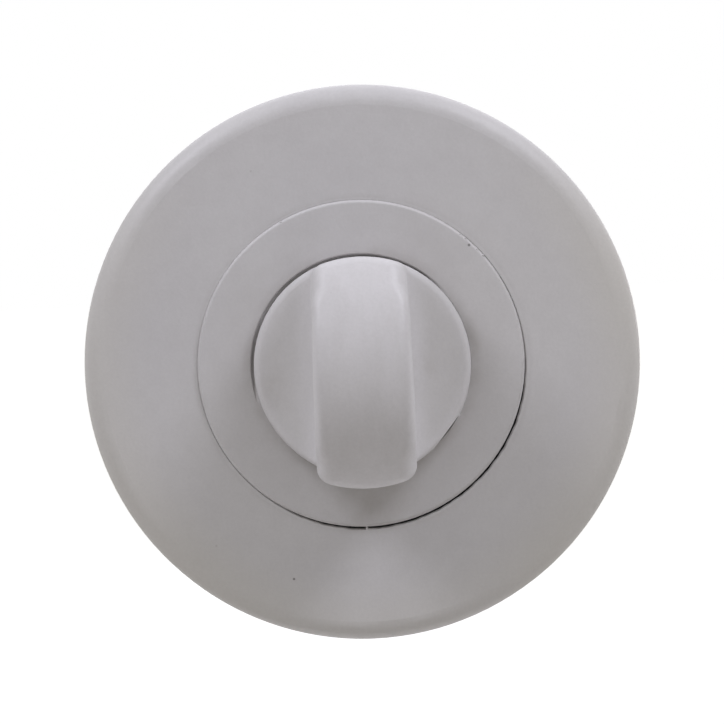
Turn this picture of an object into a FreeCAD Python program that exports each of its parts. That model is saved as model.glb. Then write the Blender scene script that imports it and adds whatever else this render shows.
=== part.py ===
import FreeCAD, Part
import math
import os

# Bathroom thumb turn on a round rose, in millimetres.
# Each piece is drawn as it lies on a table: Z points out of the door, Y points up
# and the door face is Z = 0. The finished pieces are then stood up for the door,
# so that the knob faces -Y and +Z is up.

# Rose cover
rose_d = 52.0
rose_h = 10.0
rose_edge_r = 2.0
cover_wall = 1.2
hole_edge_r = 0.15
pry_notch_w = 7.0
pry_notch_h = 1.2

# Centre disc
disc_d = 30.3
disc_t = 3.8
disc_proud = 0.3
disc_edge_r = 0.3
well_depth = 1.2
well_edge_r = 0.15
hub_len = 2.7
hub_wall = 1.9

# Turn knob
knob_d = 20.0
rim_proud = 1.5
rim_edge_r = 0.8
under_edge = 0.3
grip_w = 8.4
grip_taper_angle = 0.8
grip_end_h = 10.7
grip_shoulder_r = 1.6
grip_corner_r = 1.5
crown_r = 14.0
scoop_rise = 2.0
scoop_r = 14.0
scoop_foot_r = 0.8
gate_flat = 0.22
gate_flat_angle = -40.0
shank_d = 12.0
shank_tail = 5.5

# Quarter turn and its stop
turn_angle = 90.0
lug_angle = 18.0
lug_w = 1.5
lug_inset = 0.3
slot_depth = 1.4
stop_slack_angle = 1.0

# Bush, washers and retaining ring
bush_wall = 1.0
bush_flange_t = 0.8
bush_short = 0.2
washer_r = 8.6
wave_h = 0.8
wave_sheet = 0.3
wave_count = 3
thrust_t = 0.6
clip_t = 1.0
clip_groove_depth = 0.5
clip_band = 1.5
clip_offset = 0.4
clip_ear_r = 1.4
clip_ear_inset = 0.9
clip_ear_hole_r = 0.6

# Spindle and its grub screw
spindle_w = 5.0
spindle_front = 9.0
hole_spare = 0.5
spindle_behind = 50.0
spindle_chamfer = 0.5
grub_r = 2.0
grub_socket_af = 2.0
grub_socket_depth = 1.5
grub_sink = 0.1

# Base plate
base_rim_w = 1.7
web_t = 2.2
tube_wall = 1.6
rib_t = 1.4
rib_count = 8
tongue_count = 4
tongue_angle = 18.0
tongue_slot = 1.0
nib_h = 0.4
nib_z = 2.4
nib_len = 1.2
nib_slope = 0.1
nib_slope_len = 0.5

# Fixing screws, one above and one below the spindle
screw_spacing = 38.0
screw_r = 2.0
screw_neck_r = 1.8
screw_head_r = 3.8
screw_head_sink = 0.15
screw_cross_w = 0.9
screw_cross_depth = 1.5
screw_tip = 0.4
screw_behind = 38.0
screw_boss_r = 4.8

# Screws that hold the disc to the base plate
disc_screw_count = 3
disc_screw_pitch_r = 12.8
disc_screw_r = 1.25
disc_screw_len = 6.4
disc_screw_head_r = 2.5
disc_screw_head_h = 1.5
disc_screw_edge_r = 0.5
disc_cross_w = 0.7
disc_cross_depth = 1.0
disc_boss_r = 2.0
disc_boss_len = 2.6
post_wall = 1.0
head_recess = 1.9
pilot_spare = 0.4

# Clearances
running_fit = 0.05     # shank in its bush, radial
ring_gap = 0.185       # cover's hole around the disc, radial
knob_gap = 0.18        # disc's well around the knob, radial
under_gap = 0.15       # knob's skirt over the well's floor, along the axis
recess_gap = 0.3       # knob's hollow underside around the bush, radial
cover_fit = 0.2        # cover's skirt around the base plate, radial
cover_hang_x = 0.0     # the loose cover sits off centre by these shares of cover_fit
cover_hang_up = -0.25
seat_fit = 0.02        # fixed round pieces in their seats, radial
hub_fit = 0.16         # disc's hub in the base plate and around the bush, radial
disc_hang_x = -0.7     # the screwed disc sits off centre by these shares of hub_fit
disc_hang_up = 0.35
spindle_fit = 0.05     # spindle in the square hole, each side
washer_fit = 0.1       # washers around the shank, radial
touch = 0.02           # wave washer's crests to what they press on
groove_fit = 0.1       # retaining ring in its groove, along the axis
slot_gap = 0.25        # stop lug in its slot, radial and along the axis
nib_gap = 0.2          # clip nib in the cover's groove, along the axis
groove_gap = 0.1       # bottom of that groove beyond the nib, at least, radial
corner_gap = 0.2       # base plate's corner under the cover's, more than its radius
hole_fit = 0.2         # plain screw holes and pockets, radial
cone_fit = 0.05        # countersunk head in its seat, radial

# Radii that follow from the sizes above
rose_r = rose_d / 2
skirt_r = rose_r - cover_wall
cover_corner_r = max(rose_edge_r - cover_wall, 0.3)
base_r = skirt_r - cover_fit
disc_r = disc_d / 2
knob_r = knob_d / 2
well_r = knob_r + knob_gap
shank_r = shank_d / 2
bush_in_r = shank_r + running_fit
bush_out_r = bush_in_r + bush_wall
hub_bore_r = bush_out_r + hub_fit
hub_r = hub_bore_r + hub_wall
tube_in_r = hub_r + hub_fit
tube_out_r = tube_in_r + tube_wall
lug_out_r = knob_r - lug_inset
lug_in_r = lug_out_r - lug_w
bush_flange_r = lug_in_r - 2 * slot_gap
rim_in_r = base_r - base_rim_w

# Heights above the door face
z_cover_in = rose_h - cover_wall
z_face = rose_h + disc_proud
z_well = z_face - well_depth
z_skirt = z_well + under_gap
z_under = z_well + bush_flange_t
z_slot = z_well - slot_depth
z_rim = z_face + rim_proud
z_crown = z_rim + grip_end_h + crown_r - math.sqrt(crown_r**2 - knob_r**2)
z_seat = z_face - disc_t
z_head = z_seat - screw_head_sink
z_web = z_seat - web_t
z_hub = z_seat - hub_len
z_wave = z_hub - touch - wave_h
z_thrust = z_wave - touch - thrust_t
z_clip = z_thrust - clip_t
z_boss = z_seat - disc_boss_len

# How far cutting shapes reach past what they cut, and joined shapes into each other
over = 1.0
bite = 0.5

UP = FreeCAD.Vector(0, 0, 1)
CENTRE = FreeCAD.Vector(0, 0, 0)

# How far the loosely fitted pieces sit off the spindle's axis
cover_hang = FreeCAD.Vector(cover_hang_x, cover_hang_up, 0) * cover_fit
disc_hang = FreeCAD.Vector(disc_hang_x, disc_hang_up, 0) * hub_fit


def at(x, y, z):
    return FreeCAD.Vector(x, y, z)


def cylinder(r, z0, z1, x=0, y=0):
    return Part.makeCylinder(r, z1 - z0, at(x, y, z0))


def ring(r_in, r_out, z0, z1):
    return cylinder(r_out, z0, z1).cut(cylinder(r_in, z0 - over, z1 + over))


def block(x0, x1, y0, y1, z0, z1):
    return Part.makeBox(x1 - x0, y1 - y0, z1 - z0, at(x0, y0, z0))


def polar(r, angle):
    return r * math.cos(math.radians(angle)), r * math.sin(math.radians(angle))


def turned(shape, angle):
    # a copy of the shape, turned about the spindle's axis
    copy = shape.copy()
    copy.rotate(CENTRE, UP, angle)
    return copy


def lathe(points, start=0, angle=360):
    # a solid of revolution: each point is (radius, height), and a point with a third
    # number has its corner rounded to that radius
    edges = []
    ends = []
    count = len(points)
    for i, point in enumerate(points):
        here = at(point[0], 0, point[1])
        if len(point) == 2:
            ends.append((here, here))
            continue
        before = at(points[i - 1][0], 0, points[i - 1][1])
        after = at(points[(i + 1) % count][0], 0, points[(i + 1) % count][1])
        to_before = (before - here).normalize()
        to_after = (after - here).normalize()
        half = to_before.getAngle(to_after) / 2
        reach = point[2] / math.tan(half)
        inward = (to_before + to_after).normalize()
        middle = here + inward * (point[2] / math.sin(half) - point[2])
        first = here + to_before * reach
        last = here + to_after * reach
        edges.append(Part.Arc(first, middle, last).toShape())
        ends.append((first, last))
    for i in range(count):
        a = ends[i][1]
        b = ends[(i + 1) % count][0]
        if (b - a).Length > 1e-7:
            edges.append(Part.makeLine(a, b))
    face = Part.Face(Part.Wire(Part.sortEdges(edges)[0]))
    face.rotate(CENTRE, UP, start)
    return face.revolve(CENTRE, UP, angle)


def sector(r_in, r_out, z0, z1, start, end):
    # part of a ring, from one angle to another
    return lathe([(r_in, z0), (r_out, z0), (r_out, z1), (r_in, z1)], start, end - start)


def cross_slot(reach, width, z0, z1):
    # the cross that a driver fits
    bar = block(-reach, reach, -width / 2, width / 2, z0, z1)
    return bar.fuse(turned(bar, 90))


def disc_screw_places():
    step = 360 / disc_screw_count
    return [polar(disc_screw_pitch_r, -90 + step * i) for i in range(disc_screw_count)]


def fixing_screw_places():
    return [(0, screw_spacing / 2), (0, -screw_spacing / 2)]


def make_rose_cover():
    hole_r = disc_r + ring_gap
    groove_r = skirt_r + nib_h + groove_gap
    cap = lathe([
        (hole_r, z_cover_in),
        (hole_r, rose_h, hole_edge_r),
        (rose_r, rose_h, rose_edge_r),
        (rose_r, 0),
        (skirt_r, 0),
        (skirt_r, nib_z - nib_gap),
        (groove_r, nib_z - nib_gap),
        (groove_r, nib_z + nib_len + nib_gap),
        (skirt_r, nib_z + nib_len + nib_gap),
        (skirt_r, z_cover_in, cover_corner_r),
    ])
    notch = block(-pry_notch_w / 2, pry_notch_w / 2, -rose_r - over, -rim_in_r, -over, pry_notch_h)
    cap = cap.cut(notch)
    cap.translate(cover_hang)
    return cap


def make_centre_disc():
    disc = lathe([
        (hub_bore_r, z_hub),
        (hub_bore_r, z_well),
        (well_r, z_well),
        (well_r, z_face, well_edge_r),
        (disc_r, z_face, disc_edge_r),
        (disc_r, z_seat),
        (hub_r, z_seat),
        (hub_r, z_hub),
    ])
    for x, y in disc_screw_places():
        disc = disc.fuse(cylinder(disc_boss_r, z_boss, z_seat + bite, x, y))
    pilot_top = head_recess + disc_screw_len + pilot_spare
    for x, y in disc_screw_places():
        disc = disc.cut(cylinder(disc_screw_r + seat_fit, z_boss - over, pilot_top, x, y))
    # the stop slot: the lug starts at the bottom and goes a quarter turn clockwise
    spare = lug_angle / 2 + stop_slack_angle
    slot = sector(lug_in_r - slot_gap, lug_out_r + slot_gap, z_slot, z_well + over,
                  270 - turn_angle - spare, 270 + spare)
    disc = disc.cut(slot)
    disc.translate(disc_hang)
    return disc


def places_along(edge):
    span = edge.LastParameter - edge.FirstParameter
    return [edge.valueAt(edge.FirstParameter + span * share) for share in (0.0, 0.5, 1.0)]


def make_right_scoop():
    # what is cut away beside the grip: a wall, a small rounded foot and a wide hollow that
    # falls from the foot to the rim; the walls stand closer together at the top
    wall = grip_w / 2
    span = knob_r - wall
    chord = math.hypot(span, scoop_rise)
    away = math.sqrt(scoop_r**2 - (chord / 2)**2)
    centre_x = (wall + knob_r) / 2 + away * scoop_rise / chord
    centre_z = z_rim + scoop_rise / 2 + away * span / chord
    outside = knob_r + over

    def hollow(x):
        return at(x, 0, centre_z - math.sqrt(scoop_r**2 - (x - centre_x)**2))

    top = at(wall, 0, z_crown + over)
    high = at(outside, 0, z_crown + over)
    face = Part.Face(Part.Wire([
        Part.makeLine(top, hollow(wall)),
        Part.Arc(hollow(wall), hollow(knob_r), hollow(outside)).toShape(),
        Part.makeLine(hollow(outside), high),
        Part.makeLine(high, top),
    ]))
    face.translate(at(0, -outside, 0))
    scoop = face.extrude(at(0, 2 * outside, 0))
    foot = [e for e in scoop.Edges if all((p - hollow(wall)).cross(at(0, 1, 0)).Length < 1e-3
                                          for p in places_along(e))]
    return turned(scoop.makeFillet(scoop_foot_r, foot), grip_taper_angle)


def make_crown_block():
    # everything under the grip's arched front
    y = knob_r + bite
    z_side = z_crown - crown_r + math.sqrt(crown_r**2 - y**2)
    z_low = z_skirt - over
    corners = [at(0, -y, z_side), at(0, -y, z_low), at(0, y, z_low), at(0, y, z_side)]
    edges = [Part.makeLine(corners[i], corners[i + 1]) for i in range(3)]
    edges.append(Part.Arc(corners[3], at(0, 0, z_crown), corners[0]).toShape())
    face = Part.Face(Part.Wire(edges))
    face.translate(at(-knob_r - over, 0, 0))
    return face.extrude(at(2 * (knob_r + over), 0, 0))


def is_shoulder(edge):
    # where the arched front meets a side of the grip
    return edge.BoundBox.ZMax > z_crown - 1e-3 and edge.BoundBox.YLength > knob_r


def wall_edge_radii(edge):
    # the radii at the two ends of an edge at the top of the knob's round wall: small along
    # the scooped rim, and growing up the grip's corners to that of its ends
    if isinstance(edge.Curve, Part.Line):
        rising = edge.valueAt(edge.FirstParameter).z < edge.valueAt(edge.LastParameter).z
        return (rim_edge_r, grip_corner_r) if rising else (grip_corner_r, rim_edge_r)
    if edge.BoundBox.ZMin > z_rim + grip_end_h / 2:
        return grip_corner_r, grip_corner_r
    return rim_edge_r, rim_edge_r


def is_wall_top(edge):
    on_wall = all(abs(math.hypot(p.x, p.y) - knob_r) < 1e-3 for p in places_along(edge))
    return on_wall and edge.BoundBox.ZMin > z_rim - 1e-3


def round_edges(solid, choose, radii):
    # round the chosen edges, each with its own radius at either end
    doc = FreeCAD.newDocument("rounding")
    plain = doc.addObject("Part::Feature", "plain")
    plain.Shape = solid
    soft = doc.addObject("Part::Fillet", "soft")
    soft.Base = plain
    soft.Edges = [(i + 1, *radii(e)) for i, e in enumerate(plain.Shape.Edges) if choose(e)]
    doc.recompute()
    result = soft.Shape.Solids[0].copy()
    FreeCAD.closeDocument(doc.Name)
    return result


def make_knob_blank():
    # the round block, its wall in two halves that meet in the middle of the scoops
    front = Part.Arc(at(knob_r, 0, z_skirt), at(0, knob_r, z_skirt), at(-knob_r, 0, z_skirt))
    back = Part.Arc(at(-knob_r, 0, z_skirt), at(0, -knob_r, z_skirt), at(knob_r, 0, z_skirt))
    face = Part.Face(Part.Wire([front.toShape(), back.toShape()]))
    return face.extrude(at(0, 0, z_crown + over - z_skirt))


def make_turn_knob():
    knob = make_knob_blank()
    scoop = make_right_scoop()
    knob = knob.cut(scoop).cut(scoop.mirror(CENTRE, at(1, 0, 0)))
    knob = knob.common(make_crown_block()).Solids[0]
    knob = knob.makeFillet(grip_shoulder_r, [e for e in knob.Edges if is_shoulder(e)])
    knob = round_edges(knob, is_wall_top, wall_edge_radii)
    bottom = [e for e in knob.Edges if e.BoundBox.ZMax < z_skirt + 1e-3]
    knob = knob.makeChamfer(under_edge, bottom)
    # the flat on the rim where the casting was trimmed from its gate
    trim = block(knob_r - gate_flat, knob_r + over, -knob_r, knob_r, z_skirt - over, z_rim + scoop_rise)
    knob = knob.cut(turned(trim, gate_flat_angle))
    # the hollow underside that the bush's flange fits in
    knob = knob.cut(cylinder(bush_flange_r + recess_gap, z_skirt - over, z_under))
    shank = cylinder(shank_r, -shank_tail, z_under + bite)
    groove = ring(shank_r - clip_groove_depth, shank_r + over, z_clip, z_thrust + groove_fit)
    lug = sector(lug_in_r, lug_out_r, z_slot + slot_gap, z_skirt + bite,
                 270 - lug_angle / 2, 270 + lug_angle / 2)
    knob = knob.fuse(shank.cut(groove)).fuse(lug)
    hole = spindle_w / 2 + spindle_fit
    knob = knob.cut(block(-hole, hole, -hole, hole, -shank_tail - over, spindle_front + hole_spare))
    grub_hole = Part.makeCylinder(grub_r + seat_fit, shank_r + over, at(0, 0, -shank_tail / 2), at(1, 0, 0))
    return knob.cut(grub_hole)


def make_bearing_bush():
    return lathe([
        (bush_in_r, z_hub + bush_short),
        (bush_in_r, z_under),
        (bush_flange_r, z_under),
        (bush_flange_r, z_well),
        (bush_out_r, z_well),
        (bush_out_r, z_hub + bush_short),
    ])


def make_wave_washer():
    # a flat ring pressed into waves: a strip between two waving circles, given thickness
    swing = (wave_h - wave_sheet) / 2
    steps = 8 * wave_count

    def waving_circle(r):
        points = []
        for i in range(steps):
            x, y = polar(r, 360 * i / steps)
            lift = math.cos(2 * math.pi * wave_count * i / steps)
            points.append(at(x, y, z_wave + swing + swing * lift))
        curve = Part.BSplineCurve()
        curve.interpolate(points, True)
        return curve.toShape()

    strip = Part.makeRuledSurface(waving_circle(shank_r + 3 * washer_fit), waving_circle(washer_r))
    return strip.extrude(at(0, 0, wave_sheet))


def make_thrust_washer():
    return ring(shank_r + washer_fit, washer_r, z_thrust, z_thrust + thrust_t)


def make_retaining_ring():
    # thicker opposite its gap, with two eared ends for the pliers
    inner = shank_r - clip_groove_depth + seat_fit
    outer = shank_r + clip_band
    ear_y = outer - clip_ear_inset
    z_high = z_clip + clip_t
    ear_x = clip_ear_r * 2
    clip = cylinder(outer, z_clip, z_high, 0, -clip_offset)
    for side in (-1, 1):
        clip = clip.fuse(cylinder(clip_ear_r, z_clip, z_high, side * ear_x, ear_y))
    for side in (-1, 1):
        clip = clip.cut(cylinder(clip_ear_hole_r, z_clip - over, z_high + over, side * ear_x, ear_y))
    clip = clip.cut(cylinder(inner, z_clip - over, z_high + over))
    gap = ear_x - clip_ear_r
    return clip.cut(block(-gap, gap, 0, washer_r + over, z_clip - over, z_high + over))


def make_spindle():
    half = spindle_w / 2
    bar = block(-half, half, -half, half, -spindle_behind, spindle_front)
    ends = [e for e in bar.Edges if e.BoundBox.ZLength < 1e-6]
    return bar.makeChamfer(spindle_chamfer, ends)


def make_spindle_grub_screw():
    inside = spindle_w / 2
    outside = shank_r - grub_sink
    place = at(inside, 0, -shank_tail / 2)
    grub = Part.makeCylinder(grub_r, outside - inside, place, at(1, 0, 0))
    corner_r = grub_socket_af / math.sqrt(3)
    corners = []
    for i in range(7):
        y, z = polar(corner_r, 60 * i)
        corners.append(at(outside - grub_socket_depth, y, z - shank_tail / 2))
    socket = Part.Face(Part.makePolygon(corners)).extrude(at(grub_socket_depth + over, 0, 0))
    return grub.cut(socket)


def make_base_plate():
    corner = cover_corner_r + corner_gap
    plate = lathe([
        (rim_in_r, 0),
        (base_r, 0),
        (base_r, z_cover_in - corner),
        (base_r - corner, z_cover_in),
        (rim_in_r, z_cover_in),
    ])
    plate = plate.fuse(ring(tube_in_r, rim_in_r + bite, z_web, z_seat))
    plate = plate.fuse(ring(tube_in_r, tube_out_r, 0, z_seat))
    rib = block(tube_out_r - bite, rim_in_r + bite, -rib_t / 2, rib_t / 2, 0, z_web + bite)
    for i in range(rib_count):
        plate = plate.fuse(turned(rib, 360 / rib_count * (i + 0.5)))
    for x, y in fixing_screw_places():
        boss = cylinder(screw_boss_r, 0, z_web + bite, x, y)
        plate = plate.fuse(boss.common(cylinder(base_r, -over, z_seat)))
    post_r = disc_boss_r + hole_fit + post_wall
    for x, y in disc_screw_places():
        plate = plate.fuse(cylinder(post_r, 0, z_web + bite, x, y))
    for x, y in fixing_screw_places():
        plate = plate.cut(cylinder(screw_r + hole_fit, -over, z_seat + over, x, y))
        seat_r = screw_head_r + cone_fit
        throat_r = screw_neck_r + cone_fit
        depth = seat_r - throat_r
        plate = plate.cut(Part.makeCone(throat_r, seat_r, depth, at(x, y, z_head - depth)))
        plate = plate.cut(cylinder(seat_r, z_head, z_seat + over, x, y))
    for x, y in disc_screw_places():
        plate = plate.cut(cylinder(disc_screw_r + hole_fit, -over, z_seat + over, x, y))
        plate = plate.cut(cylinder(disc_screw_head_r + hole_fit, -over, head_recess, x, y))
        plate = plate.cut(cylinder(disc_boss_r + hole_fit, z_boss - hole_fit, z_seat + over, x, y))
    plate = plate.cut(cylinder(tube_in_r, -over, z_seat + over))
    # four sprung tongues in the rim, each with a nib that clips into the cover
    slot_angle = math.degrees(tongue_slot / base_r)
    for i in range(tongue_count):
        middle = 360 / tongue_count * (i + 0.5)
        start = middle - tongue_angle / 2
        end = middle + tongue_angle / 2
        plate = plate.cut(sector(rim_in_r - tongue_slot, rim_in_r, -over, z_seat + over,
                                 start - slot_angle, end + slot_angle))
        for edge in (start - slot_angle, end):
            plate = plate.cut(sector(rim_in_r - bite, base_r + over, -over, z_seat,
                                     edge, edge + slot_angle))
        plate = plate.fuse(lathe([
            (base_r - bite, nib_z),
            (base_r + nib_h - nib_slope, nib_z),
            (base_r + nib_h, nib_z + nib_slope_len),
            (base_r + nib_h, nib_z + nib_len),
            (base_r - bite, nib_z + nib_len),
        ], start, tongue_angle))
    return plate.removeSplitter()


def make_fixing_screws():
    neck = z_head - (screw_head_r - screw_neck_r)
    screws = []
    for x, y in fixing_screw_places():
        screw = lathe([
            (0, -screw_behind),
            (screw_r - screw_tip, -screw_behind),
            (screw_r, -screw_behind + screw_tip),
            (screw_r, 0),
            (screw_neck_r, 0),
            (screw_neck_r, neck),
            (screw_head_r, z_head),
            (0, z_head),
        ])
        screw = screw.cut(cross_slot(screw_r, screw_cross_w, z_head - screw_cross_depth, z_head + over))
        screw.translate(at(x, y, 0))
        screws.append(screw)
    return Part.makeCompound(screws)


def make_disc_screws():
    low = head_recess - disc_screw_head_h
    screws = []
    for x, y in disc_screw_places():
        screw = lathe([
            (0, low),
            (disc_screw_head_r, low, disc_screw_edge_r),
            (disc_screw_head_r, head_recess),
            (disc_screw_r, head_recess),
            (disc_screw_r, head_recess + disc_screw_len),
            (0, head_recess + disc_screw_len),
        ])
        screw = screw.cut(cross_slot(disc_screw_r, disc_cross_w, low - over, low + disc_cross_depth))
        screw.translate(at(x, y, 0) + disc_hang)
        screws.append(screw)
    return Part.makeCompound(screws)


pieces = {
    "rose_cover": make_rose_cover(),
    "centre_disc": make_centre_disc(),
    "turn_knob": make_turn_knob(),
    "bearing_bush": make_bearing_bush(),
    "wave_washer": make_wave_washer(),
    "thrust_washer": make_thrust_washer(),
    "retaining_ring": make_retaining_ring(),
    "spindle": make_spindle(),
    "spindle_grub_screw": make_spindle_grub_screw(),
    "base_plate": make_base_plate(),
    "fixing_screws": make_fixing_screws(),
    "disc_screws": make_disc_screws(),
}

os.makedirs("parts", exist_ok=True)
for name, shape in pieces.items():
    shape.rotate(CENTRE, at(1, 0, 0), 90)
    shape.exportStep("parts/" + name + ".step")
    print(name, len(shape.Solids), "solid(s), valid" if shape.isValid() else "solid(s), NOT valid",
          round(shape.Volume, 1), "mm3")
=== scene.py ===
import math

import bmesh
import bpy
from mathutils import Matrix, Vector


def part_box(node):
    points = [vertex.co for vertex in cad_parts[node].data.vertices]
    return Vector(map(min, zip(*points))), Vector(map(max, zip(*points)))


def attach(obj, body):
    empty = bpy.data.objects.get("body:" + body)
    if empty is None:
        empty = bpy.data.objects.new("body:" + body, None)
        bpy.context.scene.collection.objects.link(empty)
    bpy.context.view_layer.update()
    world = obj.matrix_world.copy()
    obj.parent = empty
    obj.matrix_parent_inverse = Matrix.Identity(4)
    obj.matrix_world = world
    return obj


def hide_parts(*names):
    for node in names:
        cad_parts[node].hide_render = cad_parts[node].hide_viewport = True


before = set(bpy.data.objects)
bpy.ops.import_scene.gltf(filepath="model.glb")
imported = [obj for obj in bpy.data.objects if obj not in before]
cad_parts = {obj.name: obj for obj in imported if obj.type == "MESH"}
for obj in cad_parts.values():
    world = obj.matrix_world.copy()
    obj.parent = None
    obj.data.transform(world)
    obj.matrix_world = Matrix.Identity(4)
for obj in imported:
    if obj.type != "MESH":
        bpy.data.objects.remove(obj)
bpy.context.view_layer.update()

MM = 0.001


# Sizes read from the frame

disc_low, disc_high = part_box("centre_disc")
disc_r = (disc_high[0] - disc_low[0]) / 2
disc_x = (disc_low[0] + disc_high[0]) / 2
disc_z = (disc_low[2] + disc_high[2]) / 2
disc_front = disc_low[1]

cover_low, cover_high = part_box("rose_cover")
cover_x = (cover_low[0] + cover_high[0]) / 2
cover_z = (cover_low[2] + cover_high[2]) / 2
cover_front = cover_low[1]

knob_low, knob_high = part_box("turn_knob")
knob_r = (knob_high[0] - knob_low[0]) / 2
knob_front = knob_low[1]

screws_low, screws_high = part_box("fixing_screws")
screw_head_r = (screws_high[0] - screws_low[0]) / 2
screw_heights = (screws_high[2] - screw_head_r, screws_low[2] + screw_head_r)


# Writing shaders

class Wire:
    """A socket of a shading's node tree. Sums on it add Math nodes."""

    def __init__(self, shading, socket):
        self.shading = shading
        self.socket = socket

    def sum_with(self, operation, first, second):
        return self.shading.node("ShaderNodeMath", {"operation": operation}, {0: first, 1: second})

    def __add__(self, other):
        return self.sum_with("ADD", self, other)

    def __sub__(self, other):
        return self.sum_with("SUBTRACT", self, other)

    def __rsub__(self, other):
        return self.sum_with("SUBTRACT", other, self)

    def __mul__(self, other):
        return self.sum_with("MULTIPLY", self, other)

    def __gt__(self, other):
        return self.sum_with("GREATER_THAN", self, other)

    def __or__(self, other):
        return self.sum_with("MAXIMUM", self, other)


class Shading:
    """The nodes of one material, or of the world."""

    def __init__(self, owner):
        owner.use_nodes = True
        self.owner = owner
        self.tree = owner.node_tree
        self.tree.nodes.clear()

    def node(self, kind, settings=None, sockets=None, out=0):
        made = self.tree.nodes.new(kind)
        for key, value in (settings or {}).items():
            setattr(made, key, value)
        for key, value in (sockets or {}).items():
            socket = made.inputs[key]
            if isinstance(value, Wire):
                self.tree.links.new(value.socket, socket)
            else:
                socket.default_value = value
        return Wire(self, made.outputs[out]) if made.outputs else None

    def place(self):
        """Where a point is on its piece, so that a pattern turns with it."""
        return self.node("ShaderNodeTexCoord", out="Object")

    def along(self, axis):
        return self.node("ShaderNodeSeparateXYZ", {}, {"Vector": self.place()}, out=axis)

    def noise(self, scale, detail=2.0, rough=0.5, stretch=(1.0, 1.0, 1.0)):
        where = self.node("ShaderNodeMapping", {}, {"Vector": self.place(), "Scale": stretch})
        return self.node("ShaderNodeTexNoise", {}, {"Vector": where, "Scale": scale,
                                                    "Detail": detail, "Roughness": rough})

    def ease(self, value, low, high, to_low=0.0, to_high=1.0):
        return self.node("ShaderNodeMapRange", {"interpolation_type": "SMOOTHSTEP", "clamp": True},
                         {"Value": value, "From Min": low, "From Max": high,
                          "To Min": to_low, "To Max": to_high})

    def fade(self, value, low, high, most=1.0):
        return self.ease(value, low, high, most, 0.0)

    def blend(self, share, first, second):
        return self.node("ShaderNodeMix", {"data_type": "RGBA"}, {0: share, 6: first, 7: second}, out=2)

    def bump(self, height, depth):
        return self.node("ShaderNodeBump", {}, {"Height": height, "Distance": depth})

    def away_from(self, point, flatten=(1.0, 1.0, 1.0)):
        """Distance from a point, measured only along the axes that flatten keeps."""
        where = self.node("ShaderNodeVectorMath", {"operation": "MULTIPLY"}, {0: self.place(), 1: flatten})
        return self.node("ShaderNodeVectorMath", {"operation": "DISTANCE"}, {0: where, 1: point},
                         out="Value")

    def seen(self):
        """One for the camera and for rays that reflect or pass through, none for stray light."""
        kinds = ("Is Camera Ray", "Is Glossy Ray", "Is Transmission Ray")
        camera, glossy, through = [self.node("ShaderNodeLightPath", out=kind) for kind in kinds]
        return camera | glossy | through

    def surface(self, **sockets):
        names = {key.replace("_", " "): value for key, value in sockets.items()}
        shader = self.node("ShaderNodeBsdfPrincipled", {}, names)
        self.node("ShaderNodeOutputMaterial", {}, {"Surface": shader})
        return self.owner


def rgba(r, g, b):
    return (r, g, b, 1.0)


# Paint

AXIS = (0.0, 0.0, 0.0)
ACROSS = (1.0, 0.0, 1.0)
SIDEWAYS = (1.0, 0.0, 0.0)
SMUDGE_AND_SHADE_STRETCH = 0.5

PAINT_DARK = rgba(0.557, 0.545, 0.551)
PAINT_LIGHT = rgba(0.586, 0.575, 0.579)
PAINT_DRIFT = rgba(0.580, 0.566, 0.556)
PAINT_MOTTLE = rgba(0.47, 0.455, 0.455)
PAINT_WARM_LIGHT = rgba(0.578, 0.558, 0.522)
PAINT_RUBBED_AND_LIT = rgba(0.640, 0.626, 0.636)
PAINT_GRAIN = rgba(0.29, 0.28, 0.28)
RING_SHADE = rgba(0.33, 0.31, 0.295)
DUST = rgba(0.30, 0.285, 0.27)
SMUDGE_AND_SHADE = rgba(0.36, 0.335, 0.31)
SPECK = rgba(0.10, 0.095, 0.09)

# bands over which a change comes in: two distances from the axis, or two heights
WARM_LIGHT_EDGE = (19.0 * MM, 25.5 * MM)
WARM_LIGHT_BELOW = (6.0 * MM, 22.0 * MM)
RUBBED_AND_LIT_GRIP = (4.4 * MM, 6.6 * MM)
RUBBED_AND_LIT_RIM = (8.5 * MM, 9.7 * MM)
PAINT_TEXTURE = 0.014 * MM


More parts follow.
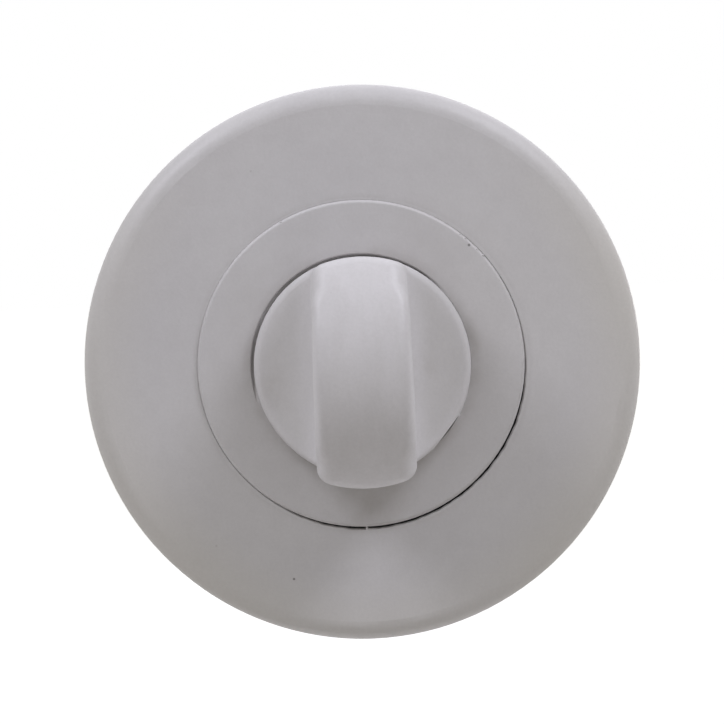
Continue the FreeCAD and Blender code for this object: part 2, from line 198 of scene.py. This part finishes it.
def satin_paint(name, specks, smudges_and_shade, shade_rings, held=False, shine=0.21):
    """Sprayed light grey paint: clouding, spray texture, rings of painted shade, a warm tint on the edge
    that is painted warm light from below, dust.
    A piece that is held is lighter on its grip and beside it: partly worn by the fingers, partly a painted
    highlight."""
    f = Shading(bpy.data.materials.new(name))
    from_axis = f.away_from(AXIS, ACROSS)
    cloud = f.ease(f.noise(150.0, 4.0, 0.6), 0.3, 0.7)
    drift = f.ease(f.noise(38.0, 1.0), 0.35, 0.65)
    colour = f.blend(cloud, PAINT_DARK, PAINT_LIGHT)
    colour = f.blend(drift * 0.5, colour, PAINT_DRIFT)
    mottle = f.ease(f.noise(620.0, 3.0, 0.6), 0.3, 0.7)
    colour = f.blend(mottle * 0.15, colour, PAINT_MOTTLE)
    # painted warm light: the outer edge is tinted warm, strongly over most of it and only faintly at the top
    warm_light = f.ease(from_axis, *WARM_LIGHT_EDGE) * f.ease(f.along("Z"), *WARM_LIGHT_BELOW, 1.0, 0.1)
    colour = f.blend(warm_light * (drift * 0.4 + 0.5), colour, PAINT_WARM_LIGHT)
    gloss = f.ease(f.noise(160.0, 3.0), 0.3, 0.7, 0.40, 0.48)
    if held:
        streak = f.ease(f.noise(420.0, 3.0, 0.6, (1.0, 1.0, 0.3)), 0.35, 0.65) * 0.4 + 0.6
        # partly wear, partly painted highlight: the grip and the scoops next to its walls are painted
        # lighter
        rubbed_and_lit = f.fade(f.away_from(AXIS, SIDEWAYS), *RUBBED_AND_LIT_GRIP) * streak
        colour = f.blend(rubbed_and_lit, colour, PAINT_RUBBED_AND_LIT)
        gloss = gloss - rubbed_and_lit * 0.03
        # the same lighter paint, partly wear and partly painted highlight, over the rim
        rim = f.ease(from_axis, *RUBBED_AND_LIT_RIM) * streak
        colour = f.blend(rim * 0.6, colour, PAINT_RUBBED_AND_LIT)
    grain = f.noise(3600.0)
    colour = f.blend(grain * 0.19, colour, PAINT_GRAIN)
    patchy = f.ease(f.noise(210.0, 4.0, 0.6), 0.35, 0.68) * 0.6 + 0.4
    # painted shade: darker rings round the seam and round the knob, where shade falls between the parts
    for line_r, width, share in shade_rings:
        from_line = f.node("ShaderNodeMath", {"operation": "ABSOLUTE"}, {0: from_axis - line_r})
        colour = f.blend(f.fade(from_line, 0.0, width, share) * patchy, colour, RING_SHADE)
    cells = {"Vector": f.place(), "Scale": 420.0, "Randomness": 1.0}
    near = f.node("ShaderNodeTexVoronoi", {"feature": "F1"}, cells, out="Distance")
    chance = f.node("ShaderNodeTexVoronoi", {"feature": "F1"}, cells, out="Color")
    chosen = f.node("ShaderNodeSeparateColor", {}, {"Color": chance}, out="Red") > 0.985
    colour = f.blend(f.fade(near, 0.035, 0.06) * chosen * 0.30, colour, DUST)
    # darker patches: painted shade beside and below the knob, and two patches in the scoops
    for (x, y, z), size in smudges_and_shade:
        middle = (x, y, z * SMUDGE_AND_SHADE_STRETCH)
        soft = f.fade(f.away_from(middle, (1.0, 1.0, SMUDGE_AND_SHADE_STRETCH)), 0.0, size)
        colour = f.blend(soft * (mottle * 0.14 + 0.10), colour, SMUDGE_AND_SHADE)
    for point, size in specks:
        spot = f.fade(f.away_from(point), size * 0.5, size)
        colour = f.blend(spot * 0.7, colour, SPECK)
    peel = f.noise(1500.0)
    sand = f.noise(5200.0, 1.0)
    return f.surface(Base_Color=colour, Roughness=gloss, Specular_IOR_Level=shine,
                     Normal=f.bump(peel * 0.8 + sand * 0.35, PAINT_TEXTURE))


# Metal and plastic

SCREW_NECK_R = 1.8 * MM
THREAD_ROOT_BAND = 0.15 * MM
ROOTS_BEHIND = 0.2 * MM

STEEL_DARK = rgba(0.31, 0.312, 0.315)
STEEL_LIGHT = rgba(0.40, 0.40, 0.395)
STEEL_STAIN = rgba(0.25, 0.235, 0.21)
OIL_AND_SHADE = rgba(0.10, 0.095, 0.085)
SPRING_DARK = rgba(0.11, 0.105, 0.10)
SPRING_WORN = rgba(0.26, 0.25, 0.24)
DARK_NYLON = (rgba(0.042, 0.043, 0.045), rgba(0.052, 0.052, 0.054))
PALE_ACETAL = (rgba(0.78, 0.77, 0.72), rgba(0.72, 0.71, 0.66))


def plated_steel(name, threads_at=()):
    """Zinc-plated steel: grey metal with fine drawn lines, a soft clouded sheen, oil and painted shade in
    the thread roots.
    """
    f = Shading(bpy.data.materials.new(name))
    cloud = f.ease(f.noise(120.0, 4.0), 0.3, 0.7)
    line = f.noise(3800.0, 3.0, 0.6, (1.0, 0.008, 1.0))
    drawn = f.ease(line, 0.35, 0.65)
    colour = f.blend(drawn * 0.8 + cloud * 0.2, STEEL_DARK, STEEL_LIGHT)
    stain = f.ease(f.noise(45.0, 5.0, 0.6, (1.0, 0.3, 1.0)), 0.56, 0.76)
    colour = f.blend(stain * 0.35, colour, STEEL_STAIN)
    # oil and painted shade: the thread roots are darker along the thread
    for z in threads_at:
        from_screw = f.away_from((0.0, 0.0, z), ACROSS)
        root = f.fade(from_screw, SCREW_NECK_R - THREAD_ROOT_BAND, SCREW_NECK_R + THREAD_ROOT_BAND)
        colour = f.blend(root * (f.along("Y") > ROOTS_BEHIND) * 0.8, colour, OIL_AND_SHADE)
    return f.surface(Base_Color=colour, Metallic=1.0, Roughness=cloud * 0.08 + drawn * 0.10 + 0.26,
                     Normal=f.bump(line, 0.012 * MM))


def spring_steel(name):
    """Phosphated spring steel: dark grey, half matt, worn lighter here and there."""
    f = Shading(bpy.data.materials.new(name))
    worn = f.ease(f.noise(260.0, 5.0, 0.65), 0.55, 0.75)
    return f.surface(Base_Color=f.blend(worn, SPRING_DARK, SPRING_WORN), Metallic=1.0,
                     Roughness=0.52 - worn * 0.14, Normal=f.bump(f.noise(2600.0), 0.008 * MM))


def moulded_plastic(name, first, second, grain):
    """Moulded plastic: even colour, faint flow marks, eroded mould texture."""
    f = Shading(bpy.data.materials.new(name))
    flow = f.ease(f.noise(60.0, 3.0, 0.5, (1.0, 0.3, 2.2)), 0.35, 0.65)
    return f.surface(Base_Color=f.blend(flow, first, second), Roughness=flow * 0.08 + 0.50,
                     Normal=f.bump(f.noise(grain), 0.012 * MM))


# Finishes

# marks on the paint: a place and a size. The patches beside and below the knob are painted shade, where the
# rim and the knob cast shade; the two in the scoops are darker, browner patches
cover_speck = ((-7.21 * MM, -10.0 * MM, -19.73 * MM), 0.15 * MM)
disc_speck = ((10.27 * MM, -10.3 * MM, 10.64 * MM), 0.17 * MM)
# a dark spot on the knob's rim
rim_dark_spot = ((5.45 * MM, -11.3 * MM, -8.30 * MM), 0.32 * MM)
shade_beside_knob = ((10.6 * MM, -10.3 * MM, 1.5 * MM), 0.8 * MM)
shadow_below_knob = ((0.3 * MM, -10.3 * MM, -13.0 * MM), 5.5 * MM)
left_scoop = ((-8.37 * MM, -12.0 * MM, -1.85 * MM), 2.4 * MM)
right_scoop = ((5.98 * MM, -12.6 * MM, 0.33 * MM), 1.3 * MM)

# rings of painted shade, round the seam and round the knob: the radius where it is darkest, how far it
# reaches, its share there
shade_at_seam = (disc_r, 0.9 * MM, 0.28)
shade_at_knob = (knob_r, 1.4 * MM, 0.50)
shade_over_disc = (knob_r, 6.0 * MM, 0.20)

finishes = {
    "rose_cover": satin_paint("cover_paint", [cover_speck], [], [shade_at_seam]),
    "centre_disc": satin_paint("disc_paint", [disc_speck], [shade_beside_knob, shadow_below_knob], [shade_at_knob, shade_over_disc]),
    "turn_knob": satin_paint("knob_paint", [rim_dark_spot], [left_scoop, right_scoop], [], held=True, shine=0.27),
    "bearing_bush": moulded_plastic("bush_acetal", *PALE_ACETAL, 2400.0),
    "wave_washer": spring_steel("wave_washer_steel"),
    "thrust_washer": plated_steel("thrust_washer_steel"),
    "retaining_ring": spring_steel("retaining_ring_steel"),
    "spindle": plated_steel("spindle_steel"),
    "spindle_grub_screw": spring_steel("grub_screw_steel"),
    "base_plate": moulded_plastic("base_nylon", *DARK_NYLON, 1700.0),
    "fixing_screws": plated_steel("fixing_screw_steel", screw_heights),
    "disc_screws": plated_steel("disc_screw_steel"),
}

for node, material in finishes.items():
    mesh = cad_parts[node].data
    mesh.materials.clear()
    mesh.materials.append(material)


# Making meshes

def add_piece(name, mesh_maker, body, material):
    """A piece made by a function that fills a mesh; it rides on a body."""
    made = bmesh.new()
    mesh_maker(made)
    bmesh.ops.recalc_face_normals(made, faces=made.faces[:])
    mesh = bpy.data.meshes.new(name)
    made.to_mesh(mesh)
    made.free()
    mesh.materials.append(material)
    piece = bpy.data.objects.new(name, mesh)
    bpy.context.collection.objects.link(piece)
    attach(piece, body)
    return piece


def join_loops(made, loops, closed_ends=True):
    """A skin over loops of points, each with the same count."""
    rows = [[made.verts.new(point) for point in loop] for loop in loops]
    count = len(rows[0])
    for row, after in zip(rows, rows[1:]):
        for i in range(count):
            made.faces.new((row[i], row[(i + 1) % count], after[(i + 1) % count], after[i]))
    if closed_ends:
        made.faces.new(rows[0])
        made.faces.new(rows[-1])
    return rows


def edges_round(made, verts):
    """The edges of a closed row of points."""
    return [made.edges.get((vert, after)) for vert, after in zip(verts, verts[1:] + verts[:1])]


def circle(r, y, x=0.0, z=0.0, count=40):
    """Points round an axis along Y."""
    turns = [2 * math.pi * i / count for i in range(count)]
    return [(x + r * math.cos(t), y, z + r * math.sin(t)) for t in turns]


def smooth(value, low, high):
    """Rises softly from 0 at low to 1 at high."""
    share = min(1.0, max(0.0, (value - low) / (high - low)))
    return share * share * (3 - 2 * share)


def add_lump(made, place, size, seed):
    """A small uneven lump of dried paint."""
    before = len(made.verts)
    bmesh.ops.create_icosphere(made, subdivisions=3, radius=1.0)
    made.verts.ensure_lookup_table()
    for vert in made.verts[before:]:
        x, y, z = vert.co
        swell = 1.0 + 0.16 * math.sin(3.1 * x + seed) + 0.13 * math.sin(4.3 * z - 2.0 * seed + y)
        vert.co = Vector(place) + Vector((x * size[0], y * size[1], z * size[2])) * swell


# Fixing screws with a cut thread

THREAD_R = SCREW_NECK_R + 0.2 * MM
THREAD_DEPTH = 0.42 * MM
THREAD_CORE_R = THREAD_R - THREAD_DEPTH
THREAD_ROOT_R = THREAD_CORE_R * 0.94
THREAD_PITCH = 0.7 * MM
THREAD_FLANK = 0.46 * THREAD_PITCH
THREAD_FLAT = 0.07 * THREAD_PITCH
THREAD_STEPS = 32
THREAD_START = 0.25 * MM
HEAD_EDGE = 0.08 * MM
NECK_END = -0.1 * MM
CORE_START = 0.3 * MM
SCREW_TIP = 0.4 * MM
TIP_TAPER = 0.6
CROSS_W = 0.9 * MM
CROSS_DEPTH = 1.5 * MM
CROSS_TAPER = 0.8


def add_thread(made, y0, y1, z):
    """A screw's ridge: it grows out of the core at one end and sinks back into it at the other."""
    steps = int((y1 - y0) / THREAD_PITCH * THREAD_STEPS)
    loops = []
    for i in range(steps + 1):
        turn = 2 * math.pi * i / THREAD_STEPS
        y = y0 + THREAD_PITCH * i / THREAD_STEPS
        grown = min(1.0, i / THREAD_STEPS, (steps - i) / THREAD_STEPS)
        crest = THREAD_CORE_R + THREAD_DEPTH * grown
        section = ((THREAD_ROOT_R, -THREAD_FLANK), (crest, -THREAD_FLAT),
                   (crest, THREAD_FLAT), (THREAD_ROOT_R, THREAD_FLANK))
        loops.append([(a * math.cos(turn), y + b, z + a * math.sin(turn)) for a, b in section])
    join_loops(made, loops)


def add_screw(made, z):
    """A countersunk screw with a cross in its head and a cut thread."""
    y_head, y_tip = screws_low[1], screws_high[1]
    y_neck = y_head + screw_head_r - SCREW_NECK_R
    rows = join_loops(made, [
        circle(screw_head_r, y_head, z=z),
        circle(screw_head_r, y_head + HEAD_EDGE, z=z),
        circle(SCREW_NECK_R, y_neck, z=z),
        circle(SCREW_NECK_R, NECK_END, z=z),
        circle(THREAD_CORE_R, CORE_START, z=z),
        circle(THREAD_CORE_R, y_tip - SCREW_TIP, z=z),
        circle(THREAD_CORE_R - SCREW_TIP * TIP_TAPER, y_tip, z=z),
    ], closed_ends=False)
    made.faces.new(rows[-1])
    # the cross: twelve corners, sunk into the head
    w, reach = CROSS_W / 2, THREAD_R
    corners = [(reach, -w), (reach, w), (w, w), (w, reach), (-w, reach), (-w, w),
               (-reach, w), (-reach, -w), (-w, -w), (-w, -reach), (w, -reach), (w, -w)]
    y_floor = y_head + CROSS_DEPTH
    mouth, floor = join_loops(made, [
        [(a, y_head, z + b) for a, b in corners],
        [(a * CROSS_TAPER, y_floor, z + b * CROSS_TAPER) for a, b in corners],
    ], closed_ends=False)
    made.faces.new(floor)
    edges = edges_round(made, mouth) + edges_round(made, rows[0])
    bmesh.ops.triangle_fill(made, use_beauty=True, edges=edges)
    add_thread(made, THREAD_START, y_tip - SCREW_TIP, z)


def fixing_screws(made):
    for z in screw_heights:
        add_screw(made, z)


# Dried paint; angles run clockwise from the right, in degrees

NIB_DEPTH = 0.10 * MM
NIB_INSET = 0.10 * MM
NIB_THICK = 0.09 * MM
EDGE_NIBS = ((-39.5, 0.13 * MM), (-42.5, 0.10 * MM), (-48.0, 0.12 * MM), (-50.5, 0.08 * MM),
             (-117.0, 0.09 * MM))
HANGING_AT = 90.4
HANGING_OUT = 0.12 * MM
HANGING_DEPTH = 0.06 * MM
HANGING_SIZE = (0.13 * MM, 0.16 * MM, 0.17 * MM)

PAINT_FILM = 0.004 * MM
PAINT_STEP = 1.0
SEAM_GAP = 0.185 * MM
SEAM_OPEN_AT = 62.0
SEAM_OPEN_W = 0.20 * MM
SEAM_CLOSES = (30.0, 80.0)
SEAM_LIP = 0.18 * MM
SEAM_ROUND = (0.11 * MM, 0.02 * MM)
SEAM_SUNK = 0.13 * MM
SEAM_FILLS = (85.0, 125.0)
SEAM_DEPTH = 0.40 * MM
SEAM_LAP_IN = 0.02 * MM
SEAM_LAP_OUT = 0.06 * MM
WELL_GAP = 0.18 * MM
WELL_CLEAR = 0.05 * MM
WELL_LEAST = 0.01 * MM
WELL_ROUND = 0.03 * MM
WELL_LAP = 0.05 * MM
WELL_THICK = 0.30 * MM
WELL_SINKS = (98.0, 120.0)
WELL_SUNK = 0.50 * MM


def on_disc_edge(angle, inset):
    """A place on the disc's front edge."""
    turn = math.radians(-angle)
    r = disc_r - inset
    return (disc_x + r * math.cos(turn), disc_front + NIB_DEPTH, disc_z + r * math.sin(turn))


def paint_nibs(made):
    """Dried paint on the disc's edge: one lump hangs over the gap at the bottom."""
    x, _, z = on_disc_edge(HANGING_AT, -HANGING_OUT)
    add_lump(made, (x, cover_front + HANGING_DEPTH, z), HANGING_SIZE, 0.4)
    for i, (angle, wide) in enumerate(EDGE_NIBS):
        add_lump(made, on_disc_edge(angle, NIB_INSET), (wide, NIB_THICK, wide), 1.3 * i)


def add_paint_ring(made, x, z, profile):
    """A ring of dried paint. The profile gives its section, as radii and depths, at an angle
    and at a distance in degrees from where the seam stays open."""
    loops = []
    for i in range(int(360 / PAINT_STEP)):
        angle = i * PAINT_STEP
        turn = math.radians(-angle)
        aside = abs((angle - SEAM_OPEN_AT + 180) % 360 - 180)
        across, up = math.cos(turn), math.sin(turn)
        section = profile(across, up, angle, aside)
        loops.append([(x + r * across, y, z + r * up) for r, y in section])
    join_loops(made, loops + loops[:1], closed_ends=False)
    bmesh.ops.remove_doubles(made, verts=made.verts[:], dist=0.0001 * MM)


def seam_paint(made):
    """Paint that has run into the seam round the disc: it closes the seam at the upper left and
    only lines it at the lower right."""
    hole_r = disc_r + SEAM_GAP
    round_r, round_y = SEAM_ROUND

    def profile(across, up, angle, aside):
        gap = SEAM_GAP - (disc_x - cover_x) * across - (disc_z - cover_z) * up
        ragged = 1.0 + 0.10 * math.sin(0.61 * angle) + 0.08 * math.sin(1.37 * angle + 1.0)
        closed = smooth(aside, *SEAM_CLOSES)
        inner = hole_r - gap + min(gap, SEAM_OPEN_W * ragged) * (1.0 - closed) - SEAM_LAP_IN * closed
        sunk = SEAM_SUNK * (1.0 - smooth(aside, *SEAM_FILLS)) * ragged
        back = cover_front + SEAM_DEPTH
        return ((hole_r + SEAM_LIP, cover_front - PAINT_FILM), (inner + round_r, cover_front),
                (inner, cover_front + round_y + sunk), (inner, back), (hole_r + SEAM_LAP_OUT, back))

    add_paint_ring(made, cover_x, cover_z, profile)


def well_paint(made):
    """Paint built up in the disc's well: it lies deep at the upper left and reaches the front
    elsewhere, always clear of the knob."""

    def profile(across, up, angle, aside):
        wall = knob_r + WELL_GAP + disc_x * across + disc_z * up
        deep = smooth(aside, *WELL_SINKS)
        inner = min(knob_r + WELL_CLEAR, wall - WELL_LEAST)
        outer = wall + SEAM_LIP * (1.0 - deep) + WELL_LAP * deep
        front = disc_front + WELL_SUNK * deep
        back = front + WELL_THICK
        return ((outer, front - PAINT_FILM), (inner + WELL_ROUND, front), (inner, front + WELL_ROUND),
                (inner, back), (wall + WELL_LAP, back))

    add_paint_ring(made, 0.0, 0.0, profile)


# Details of the knob

BURR_AT = math.radians(-29.6)
BURR_SUNK = 0.02 * MM
BURR_ABOVE_COVER = 1.15 * MM
BURR_SIZE = (0.16 * MM, 0.42 * MM, 0.20 * MM)

# the first four are the knob's own, from its solid
GRIP_W = 8.4 * MM
GRIP_TAPER = math.radians(0.8)
CROWN_R = 14.0 * MM
SOLID_SHOULDER_R = 1.6 * MM
CRISP_SHOULDER_R = 0.9 * MM
SHOULDER_LAP = SOLID_SHOULDER_R + 0.30 * MM
SHOULDER_PROUD = 0.004 * MM
SHOULDER_SUNK = 0.05 * MM
SHOULDER_WIDENS = (6.0 * MM, 7.9 * MM)
SHOULDER_SINKS = (7.7 * MM, 8.2 * MM)
SHOULDER_REACH = 8.3 * MM
SHOULDER_ROWS = 96
SHOULDER_ARC = 12
SHOULDER_CREASE = math.radians(35.0)


def knob_burr(made):
    """What is left of the gate where the rim was trimmed flat."""
    r = knob_r - BURR_SUNK
    place = (r * math.cos(BURR_AT), cover_front - BURR_ABOVE_COVER, r * math.sin(BURR_AT))
    add_lump(made, place, BURR_SIZE, 2.2)


def shoulder_section(along):
    """A shoulder's section where its crest is this far above or below the axis, as distances
    inward from the grip's side and back from its front."""
    spread = smooth(abs(along), *SHOULDER_WIDENS)
    r = CRISP_SHOULDER_R + (SOLID_SHOULDER_R - CRISP_SHOULDER_R) * spread
    proud = SHOULDER_PROUD - SHOULDER_SUNK * smooth(abs(along), *SHOULDER_SINKS)
    section = [(-proud, SHOULDER_LAP)]
    for i in range(SHOULDER_ARC + 1):
        turn = math.pi / 2 * i / SHOULDER_ARC
        section.append((r - (r + proud) * math.cos(turn), r - (r + proud) * math.sin(turn)))
    return section + [(SHOULDER_LAP, -proud), (SHOULDER_LAP, SHOULDER_LAP)]


def grip_shoulders(made):
    """The grip's shoulders, crisp along its middle; at both ends they run out into the solid's
    own wider rounding."""
    centre_y = knob_front + CROWN_R
    for side in (-1, 1):
        loops = []
        for i in range(SHOULDER_ROWS + 1):
            along = SHOULDER_REACH * (2 * i / SHOULDER_ROWS - 1)
            tilt = math.asin(along / CROWN_R)
            loop = []
            for inward, back in shoulder_section(along):
                r = CROWN_R - back
                z = r * math.sin(tilt)
                wall = (GRIP_W / 2 - z * math.sin(GRIP_TAPER)) / math.cos(GRIP_TAPER)
                loop.append((side * (wall - inward), centre_y - r * math.cos(tilt), z))
            loops.append(loop)
        join_loops(made, loops)


# Mould marks on the base plate

WEB_BACK = -4.3 * MM
EJECTOR_RING_R = 17.5 * MM
EJECTOR_ANGLES = (0, 45, 135, 180, 225, 315)
EJECTOR_R = 1.5 * MM
EJECTOR_FOOT = 0.12 * MM
EJECTOR_CREST = 0.04 * MM
EJECTOR_SUNK = 0.02 * MM
EJECTOR_PROUD = 0.07 * MM
GATE_X = EJECTOR_RING_R * 1.14
GATE_NUB = ((0.75 * MM, -0.05 * MM), (0.62 * MM, 0.20 * MM), (0.50 * MM, 0.32 * MM), (0.22 * MM, 0.36 * MM))


def ejector_marks(made):
    """Fine raised rings that the mould's ejector pins leave, and the nub of its gate."""
    base = WEB_BACK - EJECTOR_SUNK
    crest = WEB_BACK + EJECTOR_PROUD
    rows = ((EJECTOR_R + EJECTOR_FOOT, base), (EJECTOR_R + EJECTOR_CREST, crest),
            (EJECTOR_R - EJECTOR_CREST, crest), (EJECTOR_R - EJECTOR_FOOT, base))
    for angle in EJECTOR_ANGLES:
        x = EJECTOR_RING_R * math.cos(math.radians(angle))
        z = EJECTOR_RING_R * math.sin(math.radians(angle))
        join_loops(made, [circle(r, y, x, z, 32) for r, y in rows], closed_ends=False)
    join_loops(made, [circle(r, WEB_BACK + h, GATE_X, 0.0, 20) for r, h in GATE_NUB])


# Pieces

screws = add_piece("fixing_screws_cut", fixing_screws, "rose", finishes["fixing_screws"])
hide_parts("fixing_screws")
nibs = add_piece("paint_nibs", paint_nibs, "rose", finishes["centre_disc"])
add_piece("seam_paint", seam_paint, "rose", finishes["centre_disc"])
add_piece("well_paint", well_paint, "rose", finishes["centre_disc"])
burr = add_piece("knob_burr", knob_burr, "turn", finishes["turn_knob"])
shoulders = add_piece("grip_shoulders", grip_shoulders, "turn", finishes["turn_knob"])
marks = add_piece("ejector_marks", ejector_marks, "rose", finishes["base_plate"])
for piece in (nibs, burr, shoulders, marks):
    piece.data.shade_smooth()
shoulders.data.set_sharp_from_angle(angle=SHOULDER_CREASE)


# Floor, light and camera

AMBIENT = 0.310
WARM = (1.0, 0.976, 0.905)
COOL = (0.980, 0.982, 1.085)
LAMP_AIM = Vector((0.0, -10.0 * MM, 0.0))
FLOOR_HEIGHT = -0.12
FLOOR_REACH = 6.0
FLOOR_WHITE = rgba(0.85, 0.85, 0.85)
FLOOR_PALE = rgba(0.74, 0.72, 0.69)


def make_floor():
    """A white floor well below the part; to stray light it is only pale, and it keeps shadows."""
    mesh = bpy.data.meshes.new("floor")
    corners = ((-1, -1), (1, -1), (1, 1), (-1, 1))
    mesh.from_pydata([(x * FLOOR_REACH, y * FLOOR_REACH, FLOOR_HEIGHT) for x, y in corners],
                     [], [(0, 1, 2, 3)])
    floor = bpy.data.objects.new("floor", mesh)
    bpy.context.collection.objects.link(floor)
    f = Shading(bpy.data.materials.new("white_floor"))
    paint = f.node("ShaderNodeBsdfDiffuse", {}, {"Color": FLOOR_WHITE})
    pale = f.node("ShaderNodeBsdfDiffuse", {}, {"Color": FLOOR_PALE})
    # the lamps light the floor near the part, so further out it glows that much more
    fill = f.ease(f.away_from((0.0, 0.0, FLOOR_HEIGHT)), 0.05, 0.60, 0.18, 0.77)
    glow = f.node("ShaderNodeEmission", {}, {"Strength": fill})
    both = f.node("ShaderNodeAddShader", {}, {0: paint, 1: glow})
    shader = f.node("ShaderNodeMixShader", {}, {0: f.seen(), 1: pale, 2: both})
    f.node("ShaderNodeOutputMaterial", {}, {"Surface": shader})
    mesh.materials.append(f.owner)


def make_world():
    """Even light from all round, white where the camera or a reflection sees it."""
    world = bpy.data.worlds.new("studio")
    bpy.context.scene.world = world
    f = Shading(world)
    room = f.node("ShaderNodeBackground", {}, {"Color": rgba(*WARM), "Strength": AMBIENT})
    white = f.node("ShaderNodeBackground", {}, {"Color": rgba(1.0, 1.0, 1.0), "Strength": 1.0})
    shader = f.node("ShaderNodeMixShader", {}, {0: f.seen(), 1: room, 2: white})
    f.node("ShaderNodeOutputWorld", {}, {"Surface": shader})


def make_lamp(name, direction, distance, size, level):
    """A square lamp. Level 1 lights a surface that faces it to its own colour."""
    data = bpy.data.lights.new(name, "AREA")
    data.shape = "SQUARE"
    data.size = size
    data.color = COOL
    data.energy = level * math.pi**2 * distance**2
    lamp = bpy.data.objects.new(name, data)
    towards = Vector(direction).normalized()
    lamp.location = LAMP_AIM + towards * distance
    lamp.rotation_mode = "QUATERNION"
    lamp.rotation_quaternion = towards.to_track_quat("Z", "Y")
    lamp.visible_camera = False
    bpy.context.collection.objects.link(lamp)


def make_camera():
    """Stands a hand's length in front of the rose, a little above its middle."""
    lift = math.radians(3.3)
    aside = math.radians(-0.06)
    roll = math.radians(-2.40)
    distance = 168.0 * MM
    target = Vector((-0.030 * MM, -8.2 * MM, 0.150 * MM))
    data = bpy.data.cameras.new("camera")
    data.sensor_width = 36.0
    data.lens = 89.25
    data.clip_start = 0.005
    camera = bpy.data.objects.new("camera", data)
    back = Vector((math.sin(aside) * math.cos(lift), -math.cos(aside) * math.cos(lift), math.sin(lift)))
    camera.location = target + back * distance
    turn = (-back).to_track_quat("-Z", "Y").to_matrix() @ Matrix.Rotation(roll, 3, "Z")
    camera.rotation_mode = "QUATERNION"
    camera.rotation_quaternion = turn.to_quaternion()
    bpy.context.collection.objects.link(camera)
    bpy.context.scene.camera = camera


make_floor()
make_world()
make_lamp("lamp_left", (-0.597, -0.375, 0.711), 0.28, 0.095, 0.445)
make_lamp("lamp_right", (0.535, -0.375, 0.757), 0.28, 0.095, 0.480)
make_lamp("lamp_edge_left", (-1.0, 0.05, -0.25), 0.45, 0.30, 0.06)
make_lamp("lamp_edge_right", (1.0, 0.05, -0.25), 0.45, 0.30, 0.11)
make_lamp("lamp_edge_below", (0.0, 0.05, -1.0), 0.10, 0.08, 0.045)
# large, so that its mirror image doesn't burn out the spindle's faces
make_lamp("lamp_back", (0.25, 0.80, 0.55), 0.45, 0.64, 0.40)
make_camera()
bpy.context.scene.view_settings.view_transform = "Standard"
